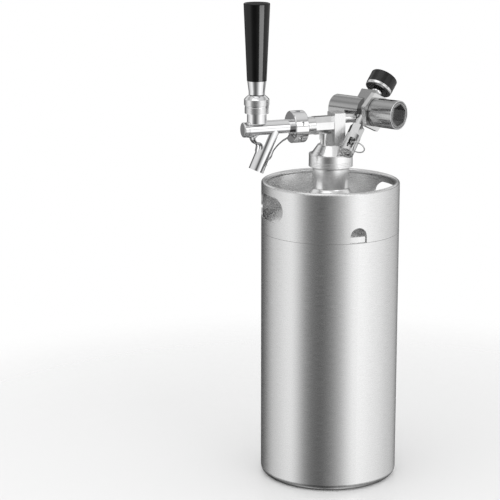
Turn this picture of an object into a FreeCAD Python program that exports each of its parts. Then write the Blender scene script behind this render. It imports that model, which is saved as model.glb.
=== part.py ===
import FreeCAD, Part
import math
import os
import re
import Sketcher
from FreeCAD import Placement, Rotation, Vector

# Mini keg beer dispenser. Origin: centre of the keg's base on the table, +Z up.
# The faucet points along -Y and the pressure regulator stands on the +Y side.

doc = FreeCAD.newDocument("MiniKegDispenser")
sheet = doc.addObject("Spreadsheet::Sheet", "Sizes")

sizes = {
    # keg
    "kegDiameter": 135.0,
    "seamHeight": 248.0,
    "skirtRise": 49.0,
    "shellWall": 1.2,
    "skirtWall": 1.3,
    "baseRound": 6.5,
    "footWidth": 11.0,
    "bottomRise": 12.0,
    "domeShoulder": 6.0,
    "domeMidRadius": 44.0,
    "domeMidRise": 26.0,
    "domeTopRise": 11.0,
    "rimBeadWidth": 4.8,
    "rimBeadHeight": 4.6,
    "slotWidth": 55.0,
    "slotHeight": 25.0,
    "slotRise": 27.0,
    "notchWidth": 17.0,
    "notchHeight": 15.0,
    "weldFit": 0.1,
    # neck and coupling head
    "neckOuter": 35.5,
    "neckBore": 26.0,
    "neckThread": 34.5,
    "neckRise": 33.0,
    "threadLength": 8.8,
    "neckFlare": 45.0,
    "neckFlareRise": 5.0,
    "sealThick": 1.5,
    "flangeDiameter": 33.4,
    "flangeThick": 3.5,
    "spigotDiameter": 23.6,
    "headRise": 15.0,
    "nutOuter": 42.6,
    "nutDrop": 8.3,
    "nutChamfer": 1.6,
    "nutRingRise": 5.7,
    "nutConeBase": 38.0,
    "nutConeTop": 25.4,
    "runningFit": 0.05,
    "tubeOuter": 8.0,
    "tubeWall": 0.8,
    "tubeOffset": 7.4,
    "tubeEnd": 17.0,
    "riserOuter": 8.4,
    "riserStep": 6.8,
    # tower block and shank
    "towerWidth": 18.0,
    "towerDepth": 11.2,
    "towerRise": 11.5,
    "gasBore": 4.0,
    "shankRise": 19.0,
    "shankFlats": 17.0,
    "shankBlockLength": 19.0,
    "shankRound": 17.0,
    "shankRoundLength": 10.0,
    "shankThread": 16.0,
    "shankEnd": 38.0,
    "beerBore": 6.0,
    "couplingOuter": 31.0,
    "couplingLength": 16.0,
    "couplingFront": 43.0,
    "couplingLip": 2.2,
    "spannerHole": 4.6,
    # faucet
    "barrelDiameter": 15.2,
    "barrelFlange": 24.0,
    "flangeDepth": 2.0,
    "barrelTail": 9.5,
    "capDiameter": 14.4,
    "capLength": 5.0,
    "leverOffset": 77.4,
    "bonnetNeck": 18.6,
    "bonnetNeckDrop": 4.7,
    "bonnetThread": 17.0,
    "bonnetThreadRise": 1.0,
    "spoutDiameter": 15.0,
    "spoutBore": 8.4,
    "spoutTipReach": 0.8,
    "spoutTipDrop": 40.2,
    "spoutTopBack": 17.4,
    "sealSetback": 12.0,
    "webThick": 5.0,
    "webInset": 1.0,
    "webLip": 3.0,
    "webBack": 1.5,
    "webFoot": 5.0,
    "webRun": 13.0,
    "webReach": 17.0,
    "valveBore": 9.0,
    "shaftDiameter": 6.0,
    "bonnetRing": 24.0,
    "bonnetGroove": 22.6,
    "bonnetStep": 0.6,
    "bonnetDrop": 4.5,
    "bonnetWall": 2.0,
    "bonnetSpace": 3.0,
    "grooveRise": 2.4,
    "grooveHalf": 0.5,
    "grooveSide": 0.4,
    "domeRadius": 15.0,
    "pivotRise": 20.0,
    "ballDiameter": 13.0,
    "stemDiameter": 6.0,
    "bonnetMouth": 14.4,
    "pinDiameter": 4.0,
    "pinPlay": 2.6,
    "domeGap": 0.3,
    "ferruleLow": 15.4,
    "ferruleHigh": 18.2,
    "ferruleBand": 3.0,
    "ferruleRise": 26.5,
    "gripLow": 18.8,
    "gripHigh": 25.2,
    "gripLength": 73.5,
    "insertDiameter": 11.0,
    "insertLength": 22.0,
    # regulator, about a core point on the +Y side
    "coreY": 36.0,
    "coreRise": 11.0,
    "mainTurn": 27.0,
    "gaugeLean": 47.5,
    "reliefHeading": 49.34,
    "reliefLean": 39.19,
    "blockBack": 9.0,
    "blockFront": 9.5,
    "blockHalf": 9.5,
    "blockLow": 10.0,
    "blockHigh": 19.0,
    "blockChamfer": 6.0,
    "socketDiameter": 26.0,
    "socketEnd": 35.6,
    "socketBore": 17.0,
    "socketDepth": 15.0,
    "nippleRise": 5.0,
    "nippleDiameter": 9.0,
    "nippleStop": 11.6,
    "hexFlats": 33.6,
    "hexThick": 4.5,
    "hexTurn": -40.0,
    "sleeveDiameter": 17.4,
    "sleeveReach": 6.0,
    "springBore": 12.0,
    "knobDiameter": 28.0,
    "knobGap": 0.4,
    "knobEnd": 41.0,
    "knobSocketFlats": 19.0,
    "knobSocketDepth": 7.0,
    "knobHollowDepth": 9.0,
    "screwDiameter": 8.0,
    "gaugeShift": 2.0,
    "gaugeBack": 25.6,
    "gaugeDiameter": 27.0,
    "gaugeRingThick": 3.0,
    "gaugeRingWidth": 3.6,
    "gaugeNutDiameter": 10.4,
    "gaugeNutSetback": 2.4,
    "gaugeCaseLength": 12.5,
    "gaugeWall": 1.6,
    "movementRadius": 6.0,
    "dialRise": 5.0,
    "dialThick": 1.0,
    "dialHole": 1.0,
    "needleRise": 1.0,
    "needleMargin": 3.0,
    "needleTail": 3.0,
    "needleTailHalf": 0.8,
    "needleHalf": 1.1,
    "needleTipHalf": 0.2,
    "needleThick": 0.5,
    "spindleDiameter": 1.6,
    "spindleLength": 2.3,
    "lensThick": 1.4,
    "lensSetback": 2.2,
    "reliefReach": 55.0,
    "reliefStem": 9.0,
    "reliefSeat": 8.0,
    "reliefFloor": 2.0,
    "stemSetback": 2.5,
    "ringSeat": 11.0,
    "slotStart": 6.0,
    "slotMargin": 3.0,
    "reliefHexStart": 22.0,
    "reliefHexEnd": 34.0,
    "reliefHexFlats": 12.6,
    "reliefDiameter": 14.4,
    "pullRing": 15.0,
    "ringWire": 1.2,
    "ringTurn": -115.0,
    "springWire": 1.1,
    "springPitch": 2.1,
    "springTurns": 4,
    "reliefTurns": 2,
}
# Heights and reaches that follow from those, each built on the one below it
levels = {
    "rimHeight": "seamHeight + skirtRise",
    "slotCentre": "seamHeight + slotRise",
    "domeMidHeight": "seamHeight + domeMidRise",
    "domeTopHeight": "domeMidHeight + domeTopRise",
    "neckFlareTop": "domeTopHeight + neckFlareRise",
    "neckTop": "domeTopHeight + neckRise",
    "neckThreadStart": "neckTop - threadLength",
    "nutBottom": "neckTop - nutDrop",
    "nutChamferTop": "nutBottom + nutChamfer",
    "nutRingTop": "neckTop + nutRingRise",
    "headTop": "neckTop + headRise",
    "shankHeight": "headTop + shankRise",
    "towerTop": "shankHeight + towerRise",
    "pivotHeight": "shankHeight + pivotRise",
    "bonnetNeckTop": "pivotHeight - bonnetNeckDrop",
    "bonnetThreadTop": "pivotHeight + bonnetThreadRise",
    "bonnetLow": "pivotHeight - bonnetDrop",
    "bonnetGrooveHeight": "pivotHeight + grooveRise",
    "ferruleTop": "pivotHeight + ferruleRise",
    "gripTop": "ferruleTop + gripLength",
    "barrelEnd": "leverOffset + barrelTail",
    "spoutTipY": "0 - leverOffset - spoutTipReach",
    "spoutTopY": "spoutTopBack - leverOffset",
    "spoutTipZ": "shankHeight - spoutTipDrop",
    "coreZ": "shankHeight + coreRise",
    "nippleHeight": "shankHeight + nippleRise",
    "nippleEnd": "coreY - nippleStop",
}
for row, (alias, value) in enumerate([*sizes.items(), *levels.items()], start=1):
    sheet.set("A%d" % row, alias)
    sheet.set("B%d" % row, "=" + value if alias in levels else str(value))
    sheet.setAlias("B%d" % row, alias)
doc.recompute()
named = {*sizes, *levels}


def bound(text):
    """The same formula with each size's name pointed at the sheet."""
    return re.sub(r"[A-Za-z]\w*", lambda m: "Sizes." + m.group() if m.group() in named else m.group(), text)


def sizeOf(text):
    """The value of a formula of named sizes, in millimetres."""
    return float(sheet.evalExpression(bound(str(text))))


def at(x, y, z, up=Vector(0, 0, 1), across=None):
    """A place whose local Z runs along up."""
    turn = Rotation(Vector(0, 0, 1), up)
    if across is not None:
        turn = Rotation(across, up.cross(across), up, "ZXY")
    return Placement(Vector(sizeOf(x), sizeOf(y), sizeOf(z)), turn)


def drawnSketch(body, name, role, outline):
    """A closed outline whose corners are dimensioned from the sheet."""
    sketch = body.newObject("Sketcher::SketchObject", name + "Outline")
    plane = [item for item in body.Origin.OriginFeatures if item.Role == role][0]
    sketch.AttachmentSupport = [(plane, "")]
    sketch.MapMode = "FlatFace"
    spots = [Vector(sizeOf(across), sizeOf(along), 0) for across, along in outline]
    count = len(spots)
    for index in range(count):
        sketch.addGeometry(Part.LineSegment(spots[index], spots[(index + 1) % count]), False)
    for index in range(count):
        sketch.addConstraint(Sketcher.Constraint("Coincident", index, 2, (index + 1) % count, 1))
    for index, pair in enumerate(outline):
        for kind, axis, text, value in (("DistanceX", -2, pair[0], spots[index].x),
                                        ("DistanceY", -1, pair[1], spots[index].y)):
            if text == "0":
                sketch.addConstraint(Sketcher.Constraint("PointOnObject", index, 1, axis))
            else:
                spot = sketch.addConstraint(Sketcher.Constraint(kind, -1, 1, index, 1, value))
                sketch.setExpression("Constraints[%d]" % spot, bound(text))
    return sketch


def lathe(name, outline, place=None, rounds=()):
    """A turned piece: an outline of (radius, height) corners, with rounded rings."""
    body = doc.addObject("PartDesign::Body", name)
    sketch = drawnSketch(body, name, "XZ_Plane", outline)
    turned = body.newObject("PartDesign::Revolution", name + "Turned")
    turned.Profile = sketch
    turned.ReferenceAxis = (sketch, ["V_Axis"])
    turned.Angle = 360
    sketch.Visibility = False
    last = turned
    for index, (radius, height, amount) in enumerate(rounds):
        doc.recompute()
        goal = (sizeOf(radius), sizeOf(height))
        names = ["Edge%d" % (k + 1) for k, edge in enumerate(last.Shape.Edges)
                 if edge.Curve.TypeId == "Part::GeomCircle"
                 and abs(edge.Curve.Radius - goal[0]) < 0.01
                 and abs(edge.Curve.Center.z - goal[1]) < 0.01]
        fillet = body.newObject("PartDesign::Fillet", "%sRound%d" % (name, index))
        fillet.Base = (last, names)
        fillet.setExpression("Radius", bound(amount))
        last = fillet
    body.Tip = last
    if place is not None:
        body.Placement = place
    return body


def plate(name, outline, thickness, role="YZ_Plane", place=None):
    """A flat piece with a drawn outline, centred on its plane."""
    body = doc.addObject("PartDesign::Body", name)
    sketch = drawnSketch(body, name, role, outline)
    pad = body.newObject("PartDesign::Pad", name + "Pad")
    pad.Profile = sketch
    pad.Midplane = True
    pad.setExpression("Length", bound(thickness))
    body.Tip = pad
    if place is not None:
        body.Placement = place
    return body


def rod(name, diameter, length, place):
    """A round bar or the tool that bores a round hole."""
    bar = doc.addObject("Part::Cylinder", name)
    bar.setExpression("Radius", bound("(%s) / 2" % diameter))
    bar.setExpression("Height", bound(length))
    bar.Placement = place
    return bar


def ball(name, diameter, place):
    """A sphere."""
    item = doc.addObject("Part::Sphere", name)
    item.setExpression("Radius", bound("(%s) / 2" % diameter))
    item.Placement = place
    return item


def hexBar(name, flats, length, place):
    """A hexagonal bar, sized across its flats."""
    bar = doc.addObject("Part::Prism", name)
    bar.Polygon = 6
    bar.setExpression("Circumradius", bound("(%s) / sqrt(3)" % flats))
    bar.setExpression("Height", bound(length))
    bar.Placement = place
    return bar


def block(name, width, depth, height, place):
    """A square-edged block whose corner is at its place."""
    item = doc.addObject("Part::Box", name)
    item.setExpression("Length", bound(width))
    item.setExpression("Width", bound(depth))
    item.setExpression("Height", bound(height))
    item.Placement = place
    return item


def joined(name, *pieces):
    """Pieces that are one casting."""
    fused = doc.addObject("Part::MultiFuse", name)
    fused.Shapes = list(pieces)
    fused.Refine = True
    return fused


def bored(name, base, *tools):
    """A piece with each tool cut out of it."""
    result = base
    for index, tool in enumerate(tools):
        last = index == len(tools) - 1
        cut = doc.addObject("Part::Cut", name if last else "%sStep%d" % (name, index))
        cut.Base = result
        cut.Tool = tool
        cut.Refine = last
        result = cut
    return result


nodes = []


def keep(item, name):
    """Names a finished sub-part and puts it on the list of those that are written."""
    item.Label = name
    nodes.append(item)
    return item


alongY = Vector(0, 1, 0)
forward = Vector(0, -1, 0)
alongX = Vector(1, 0, 0)

# Keg: one pressed shell with a dished bottom and a domed top
domeSlope = "(domeTopHeight - domeMidHeight) / (domeMidRadius - neckBore / 2)"
lapRadius = "kegDiameter / 2 - skirtWall - weldFit"
keep(lathe("KegShell", [
    ("0", "bottomRise"),
    ("kegDiameter / 2 - footWidth - bottomRise / 2", "bottomRise * 0.7"),
    ("kegDiameter / 2 - footWidth", "0"),
    ("kegDiameter / 2", "0"),
    ("kegDiameter / 2", "seamHeight"),
    (lapRadius, "seamHeight"),
    (lapRadius, "seamHeight + domeShoulder"),
    ("domeMidRadius", "domeMidHeight"),
    ("neckBore / 2", "domeTopHeight"),
    ("neckBore / 2", "domeTopHeight - shellWall"),
    ("domeMidRadius", "domeMidHeight - shellWall"),
    (lapRadius + " - shellWall", "seamHeight + domeShoulder - shellWall"),
    (lapRadius + " - shellWall", "seamHeight - 2 * shellWall"),
    ("kegDiameter / 2 - shellWall", "seamHeight - 4 * shellWall"),
    ("kegDiameter / 2 - shellWall", "shellWall"),
    ("kegDiameter / 2 - footWidth + shellWall / 2", "shellWall"),
    ("kegDiameter / 2 - footWidth - bottomRise / 2 + shellWall / 2", "bottomRise * 0.7 + shellWall"),
    ("0", "bottomRise + shellWall"),
], rounds=[
    ("kegDiameter / 2", "0", "baseRound"),
    ("kegDiameter / 2 - shellWall", "shellWall", "baseRound - shellWall"),
    ("domeMidRadius", "domeMidHeight", "domeMidRadius"),
]), "keg_shell")

# Skirt: rolled rim, a hand slot under the faucet and one opposite, a drain notch each side
skirt = lathe("SkirtRing", [
    ("kegDiameter / 2 - skirtWall", "seamHeight"),
    ("kegDiameter / 2", "seamHeight"),
    ("kegDiameter / 2", "rimHeight"),
    ("kegDiameter / 2 - rimBeadWidth", "rimHeight"),
    ("kegDiameter / 2 - rimBeadWidth", "rimHeight - rimBeadHeight"),
    ("kegDiameter / 2 - skirtWall", "rimHeight - rimBeadHeight"),
], rounds=[
    ("kegDiameter / 2", "rimHeight", "rimBeadWidth * 0.48"),
    ("kegDiameter / 2 - rimBeadWidth", "rimHeight", "rimBeadWidth * 0.48"),
    ("kegDiameter / 2 - rimBeadWidth", "rimHeight - rimBeadHeight", "rimBeadHeight * 0.4"),
])
slotTools = [
    block("SlotMiddle", "slotWidth - slotHeight", "kegDiameter * 1.2", "slotHeight",
          at("(slotHeight - slotWidth) / 2", "0 - kegDiameter * 0.6", "slotCentre - slotHeight / 2")),
    block("NotchLow", "kegDiameter * 1.2", "notchWidth", "notchHeight - notchWidth / 2",
          at("0 - kegDiameter * 0.6", "0 - notchWidth / 2", "seamHeight")),
    rod("NotchArch", "notchWidth", "kegDiameter * 1.2",
        at("0 - kegDiameter * 0.6", "0", "seamHeight + notchHeight - notchWidth / 2", alongX)),
]
for end, name in ((-1, "SlotLeft"), (1, "SlotRight")):
    slotTools.append(rod(name, "slotHeight", "kegDiameter * 1.2",
                         at("%d * (slotWidth - slotHeight) / 2" % end, "0 - kegDiameter * 0.6",
                            "slotCentre", alongY)))
keep(bored("TopSkirt", skirt, *slotTools), "top_skirt")

# Neck: welded on the dome, with the thread that the collar nut takes
keep(lathe("KegNeck", [
    ("neckBore / 2", "domeTopHeight"),
    ("neckFlare / 2", "domeTopHeight - (neckFlare - neckBore) / 2 * " + domeSlope),
    ("neckFlare / 2", "domeTopHeight - (neckFlare - neckBore) / 2 * " + domeSlope + " + shellWall"),
    ("neckOuter / 2", "neckFlareTop"),
    ("neckOuter / 2", "neckThreadStart"),
    ("neckThread / 2", "neckThreadStart"),
    ("neckThread / 2", "neckTop"),
    ("neckBore / 2", "neckTop"),
], rounds=[("neckOuter / 2", "neckFlareTop", "neckOuter / 12")]), "keg_neck")

# Coupling head: seal, flange with spigot, collar nut, dip tube and beer riser
keep(lathe("HeadSeal", [
    ("neckBore / 2 + runningFit", "neckTop"),
    ("flangeDiameter / 2 - runningFit", "neckTop"),
    ("flangeDiameter / 2 - runningFit", "neckTop + sealThick"),
    ("neckBore / 2 + runningFit", "neckTop + sealThick"),
]), "head_seal")

flangeLow = "neckTop + sealThick"
headDisc = lathe("HeadDisc", [
    ("0", flangeLow),
    ("flangeDiameter / 2", flangeLow),
    ("flangeDiameter / 2", flangeLow + " + flangeThick"),
    ("spigotDiameter / 2", flangeLow + " + flangeThick"),
    ("spigotDiameter / 2", "headTop"),
    ("0", "headTop"),
])
gasLine = "towerDepth / 2"
keep(bored("SpearHead", headDisc,
           rod("TubeHole", "tubeOuter + 2 * runningFit", "headTop", at("0", "0 - tubeOffset", "0")),
           rod("GasHole", "gasBore", "headTop", at("0", gasLine, "0"))), "spear_head")

lipLow = flangeLow + " + flangeThick + runningFit"
keep(lathe("CollarNut", [
    ("neckThread / 2 + runningFit", "nutBottom"),
    ("neckOuter / 2 + runningFit", "nutBottom"),
    ("nutOuter / 2", "nutChamferTop"),
    ("nutOuter / 2", "nutRingTop"),
    ("nutConeBase / 2", "nutRingTop"),
    ("nutConeTop / 2", "headTop - 8 * runningFit"),
    ("spigotDiameter / 2 + runningFit", "headTop - 8 * runningFit"),
    ("spigotDiameter / 2 + runningFit", lipLow),
    ("neckThread / 2 + runningFit", lipLow),
]), "collar_nut")

keep(lathe("DipTube", [
    ("tubeOuter / 2 - tubeWall", "tubeEnd"),
    ("tubeOuter / 2", "tubeEnd"),
    ("tubeOuter / 2", "headTop"),
    ("tubeOuter / 2 - tubeWall", "headTop"),
], at("0", "0 - tubeOffset", "0")), "dip_tube")

shankUnder = "shankHeight - shankFlats / 2"
keep(lathe("BeerRiser", [
    ("tubeOuter / 2 - tubeWall", "headTop"),
    ("riserStep / 2", "headTop"),
    ("riserStep / 2", "headTop + 4 * shellWall"),
    ("riserOuter / 2", "headTop + 4 * shellWall"),
    ("riserOuter / 2", shankUnder),
    ("tubeOuter / 2 - tubeWall", shankUnder),
], at("0", "0 - tubeOffset", "0")), "beer_riser")

# Tower block: carries the shank in front, and the gas nipple behind
towerSolid = block("TowerSolid", "towerWidth", "towerDepth", "towerTop - headTop",
                   at("0 - towerWidth / 2", "0", "headTop"))
keep(bored("TowerBlock", towerSolid,
           rod("TowerGasRise", "gasBore", "nippleHeight - headTop", at("0", gasLine, "headTop")),
           rod("TowerGasOut", "nippleDiameter * 0.6", "towerDepth",
               at("0", gasLine, "nippleHeight", alongY))), "tower_block")

keep(lathe("GasCheckValve", [
    ("gasBore / 5", "0"),
    ("gasBore / 2 - runningFit", "0"),
    ("gasBore / 2 - runningFit", "gasBore"),
    ("gasBore / 4", "gasBore * 1.6"),
    ("gasBore / 5", "gasBore * 1.6"),
], at("0", gasLine, "headTop + gasBore")), "gas_check_valve")

# Shank: octagonal block on the tower, then a round barrel and its thread
shankSides = 8
shankHalfSide = 180 / shankSides
octagon = doc.addObject("Part::Prism", "ShankOctagon")
octagon.Polygon = shankSides
octagon.setExpression("Circumradius", bound("shankFlats / 2 / cos(%g)" % shankHalfSide))
octagon.setExpression("Height", bound("shankBlockLength"))
octagon.Placement = Placement(Vector(0, 0, sizeOf("shankHeight")),
                              Rotation(forward, shankHalfSide).multiply(Rotation(Vector(0, 0, 1), forward)))
shankSolid = joined("ShankSolid", octagon,
                    rod("ShankBarrel", "shankRound", "shankBlockLength + shankRoundLength",
                        at("0", "0", "shankHeight", forward)),
                    rod("ShankThreaded", "shankThread", "shankEnd", at("0", "0", "shankHeight", forward)))
keep(bored("Shank", shankSolid,
           rod("ShankBore", "beerBore", "shankEnd", at("0", "0 - tubeOffset", "shankHeight", forward)),
           rod("ShankInlet", "beerBore", "shankFlats / 2", at("0", "0 - tubeOffset", shankUnder))), "shank")

keep(lathe("ShankSeal", [
    ("beerBore / 2", "shankEnd"),
    ("shankThread / 2", "shankEnd"),
    ("shankThread / 2", "shankEnd + sealThick"),
    ("beerBore / 2", "shankEnd + sealThick"),
], at("0", "0", "shankHeight", forward)), "shank_seal")

# Coupling nut: draws the faucet onto the shank, with spanner holes round it
barrelStart = "shankEnd + sealThick"
nutBack = "couplingFront - couplingLength"
couplingSolid = lathe("CouplingSolid", [
    ("shankThread / 2 + runningFit", "shankBlockLength + shankRoundLength + runningFit"),
    ("couplingOuter / 2", "shankBlockLength + shankRoundLength + runningFit"),
    ("couplingOuter / 2", "couplingFront"),
    ("barrelDiameter / 2 + 2 * runningFit", "couplingFront"),
    ("barrelDiameter / 2 + 2 * runningFit", barrelStart + " + flangeDepth + runningFit"),
    ("barrelFlange / 2 + 4 * runningFit", barrelStart + " + flangeDepth + runningFit"),
    ("barrelFlange / 2 + 4 * runningFit", "shankEnd - runningFit"),
    ("shankThread / 2 + runningFit", "shankEnd - runningFit"),
], at("0", "0", "shankHeight", forward), rounds=[
    ("couplingOuter / 2", "couplingFront", "couplingLip / 2"),
    ("couplingOuter / 2", "shankBlockLength + shankRoundLength + runningFit", "couplingLip / 2"),
])
spannerCount = 6
spannerTurn = 20
spannerSetback = "couplingFront - couplingLength * 0.42"
spannerTools = []
for index in range(spannerCount):
    angle = math.radians(360 / spannerCount * index + spannerTurn)
    outward = Vector(math.cos(angle), 0, math.sin(angle))
    spot = Placement(Vector(0, -sizeOf(spannerSetback), sizeOf("shankHeight"))
                     + outward * sizeOf("couplingOuter / 2 - couplingLip"), Rotation(Vector(0, 0, 1), outward))
    spannerTools.append(rod("SpannerHole%d" % index, "spannerHole", "couplingLip * 2", spot))
keep(bored("CouplingNut", couplingSolid, *spannerTools), "coupling_nut")

# Faucet: horizontal barrel, bonnet neck, slanting spout and the web between them
tip = Vector(0, sizeOf("spoutTipY"), sizeOf("spoutTipZ"))
top = Vector(0, sizeOf("spoutTopY"), sizeOf("shankHeight"))
spoutWay = (top - tip).normalize()
spoutLength = (top - tip).Length
spout = doc.addObject("Part::Cylinder", "SpoutTube")
spout.setExpression("Radius", bound("spoutDiameter / 2"))
spout.Height = spoutLength
spout.Placement = Placement(tip, Rotation(Vector(0, 0, 1), spoutWay))
spoutHole = doc.addObject("Part::Cylinder", "SpoutHole")
spoutHole.setExpression("Radius", bound("spoutBore / 2"))
spoutHole.Height = spoutLength
spoutHole.Placement = spout.Placement
web = plate("FaucetWeb", [
    ("0 - barrelEnd + webInset", "shankHeight - barrelDiameter * 0.35"),
    ("0 - leverOffset - webLip", "shankHeight - barrelDiameter * 0.66"),
    ("0 - leverOffset", "shankHeight - barrelDiameter * 1.05"),
    ("0 - leverOffset - webInset", "shankHeight - barrelDiameter * 1.4"),
    ("spoutTipY + spoutDiameter * 0.75", "spoutTipZ + spoutDiameter * 0.3"),
    ("spoutTopY - webBack", "shankHeight - barrelDiameter * 1.6"),
    ("spoutTopY + webFoot", "shankHeight - barrelDiameter * 1.1"),
    ("spoutTopY + webRun", "shankHeight - barrelDiameter * 0.64"),
    ("spoutTopY + webReach", "shankHeight - barrelDiameter * 0.3"),
], "webThick")
faucetSolid = joined("FaucetSolid",
                     rod("FaucetBarrel", "barrelDiameter", "barrelEnd - (%s)" % barrelStart,
                         at("0", "0 - (%s)" % barrelStart, "shankHeight", forward)),
                     rod("FaucetFlange", "barrelFlange", "flangeDepth",
                         at("0", "0 - (%s)" % barrelStart, "shankHeight", forward)),
                     rod("FaucetNeck", "bonnetNeck", "bonnetNeckTop - shankHeight - barrelDiameter * 0.4",
                         at("0", "0 - leverOffset", "shankHeight + barrelDiameter * 0.4")),
                     rod("FaucetNeckThread", "bonnetThread", "bonnetThreadTop - bonnetNeckTop + webInset",
                         at("0", "0 - leverOffset", "bonnetNeckTop - webInset")),
                     spout, web)
keep(bored("FaucetBody", faucetSolid,
           rod("ValveBoreTool", "valveBore", "barrelEnd", at("0", "0 - shankEnd / 2", "shankHeight", forward)),
           rod("NeckBoreTool", "ballDiameter + 2 * domeGap", "ballDiameter * 3",
               at("0", "0 - leverOffset", "pivotHeight - ballDiameter * 0.7")),
           block("PinRoomTool", "pinDiameter * 1.5", "pinDiameter * 3.5", "pivotHeight - shankHeight",
                 at("0 - pinDiameter * 0.75", "0 - leverOffset - pinDiameter * 1.75", "shankHeight")),
           spoutHole), "faucet_body")

keep(lathe("FaucetFrontCap", [
    ("0", "barrelEnd - capLength / 2"),
    ("valveBore / 2 - runningFit", "barrelEnd - capLength / 2"),
    ("valveBore / 2 - runningFit", "barrelEnd"),
    ("capDiameter / 2", "barrelEnd"),
    ("capDiameter / 2", "barrelEnd + capLength"),
    ("0", "barrelEnd + capLength"),
], at("0", "0", "shankHeight", forward),
    rounds=[("capDiameter / 2", "barrelEnd + capLength", "capLength / 4")]), "faucet_front_cap")

# Valve: the lever's pin pushes the shaft back and lifts its seal off the seat
shaftSolid = lathe("ShaftSolid", [
    ("0", "shankEnd + sealSetback"),
    ("shaftDiameter / 2", "shankEnd + sealSetback"),
    ("shaftDiameter / 2", "leverOffset + shaftDiameter"),
    ("0", "leverOffset + shaftDiameter"),
], at("0", "0", "shankHeight", forward))
pinSlot = block("PinSlot", "pinDiameter * 1.25", "pinDiameter + pinPlay", "shaftDiameter * 2",
                at("0 - pinDiameter * 0.625", "0 - leverOffset - (pinDiameter + pinPlay) / 2",
                   "shankHeight - shaftDiameter"))
keep(bored("ValveShaft", shaftSolid, pinSlot), "valve_shaft")
sealSpot = "shankEnd + sealSetback + sealThick"
keep(lathe("ValveSeal", [
    ("shaftDiameter / 2", sealSpot),
    ("valveBore / 2 - runningFit", sealSpot),
    ("valveBore / 2 - runningFit", sealSpot + " + sealThick"),
    ("shaftDiameter / 2", sealSpot + " + sealThick"),
], at("0", "0", "shankHeight", forward)), "valve_seal")

# Bonnet nut: two knurled rings and a domed top, hollow for the lever's ball
domeRise = "sqrt(domeRadius * domeRadius - bonnetRing * bonnetRing / 4)"
domeEdge = "pivotHeight + " + domeRise
domeTip = "pivotHeight + sqrt(domeRadius * domeRadius - bonnetMouth * bonnetMouth / 4)"
bonnetPoints = [
    ("bonnetThread / 2 + runningFit", "bonnetLow"),
    ("bonnetRing / 2 - bonnetStep", "bonnetLow"),
    ("bonnetRing / 2 - bonnetStep", "bonnetGrooveHeight - grooveHalf - grooveSide"),
    ("bonnetGroove / 2", "bonnetGrooveHeight - grooveHalf"),
    ("bonnetGroove / 2", "bonnetGrooveHeight + grooveHalf"),
    ("bonnetRing / 2", "bonnetGrooveHeight + grooveHalf + grooveSide"),
    ("bonnetRing / 2", domeEdge),
]
domeSteps = 6
for index in range(1, domeSteps + 1):
    share = index / domeSteps
    edge = "(bonnetRing / 2 + (bonnetMouth - bonnetRing) / 2 * %g)" % share
    bonnetPoints.append((edge, "pivotHeight + sqrt(domeRadius * domeRadius - %s * %s)" % (edge, edge)))
bonnetPoints.append(("bonnetMouth / 2", domeTip + " - bonnetWall"))
bonnetPoints.append(("bonnetThread / 2 + runningFit", "bonnetThreadTop + sealThick + bonnetSpace"))
keep(lathe("BonnetNut", bonnetPoints), "bonnet_nut")
nodes[-1].Placement = at("0", "0 - leverOffset", "0")

keep(lathe("BallWasher", [
    ("ballDiameter / 2 + 4 * runningFit", "bonnetThreadTop + runningFit"),
    ("bonnetThread / 2 - 2 * runningFit", "bonnetThreadTop + runningFit"),
    ("bonnetThread / 2 - 2 * runningFit", "bonnetThreadTop + runningFit + sealThick"),
    ("ballDiameter / 2 + 4 * runningFit", "bonnetThreadTop + runningFit + sealThick"),
], at("0", "0 - leverOffset", "0")), "ball_washer")

# Lever: pin, ball and stem in one, carrying the ferrule and the handle
keep(joined("TapLever",
            ball("LeverBall", "ballDiameter", at("0", "0 - leverOffset", "pivotHeight")),
            rod("LeverStem", "stemDiameter", "ferruleTop - pivotHeight + insertLength / 2",
                at("0", "0 - leverOffset", "pivotHeight")),
            rod("LeverPin", "pinDiameter", "pivotHeight - shankHeight + shaftDiameter / 3",
                at("0", "0 - leverOffset", "shankHeight - shaftDiameter / 3"))), "tap_lever")

ferruleFoot = "pivotHeight + sqrt((domeRadius + domeGap) * (domeRadius + domeGap) - ferruleLow * ferruleLow / 4)"
ferruleCup = "pivotHeight + sqrt((domeRadius + domeGap) * (domeRadius + domeGap) - stemDiameter * stemDiameter / 4)"
keep(lathe("LeverFerrule", [
    ("stemDiameter / 2 + runningFit", ferruleCup),
    ("ferruleLow / 4 + stemDiameter / 4", ferruleCup),
    ("ferruleLow / 2", ferruleFoot + " + domeGap"),
    ("ferruleLow / 2", ferruleFoot + " + ferruleBand"),
    ("ferruleHigh / 2", "ferruleTop"),
    ("stemDiameter / 2 + runningFit", "ferruleTop"),
], at("0", "0 - leverOffset", "0")), "lever_ferrule")

insertTop = "ferruleTop + insertLength"
keep(lathe("HandleInsert", [
    ("stemDiameter / 2 + runningFit", "ferruleTop"),
    ("insertDiameter / 2", "ferruleTop"),
    ("insertDiameter / 2", insertTop),
    ("0", insertTop),
    ("0", "ferruleTop + insertLength * 0.6"),
    ("stemDiameter / 2 + runningFit", "ferruleTop + insertLength * 0.6"),
], at("0", "0 - leverOffset", "0")), "handle_insert")

keep(lathe("HandleGrip", [
    ("insertDiameter / 2 + runningFit", "ferruleTop"),
    ("gripLow / 2", "ferruleTop"),
    ("gripHigh / 2", "gripTop"),
    ("0", "gripTop"),
    ("0", insertTop),
    ("insertDiameter / 2 + runningFit", insertTop),
], at("0", "0 - leverOffset", "0"), rounds=[("gripHigh / 2", "gripTop", "gripHigh / 25")]), "handle_grip")

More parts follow.
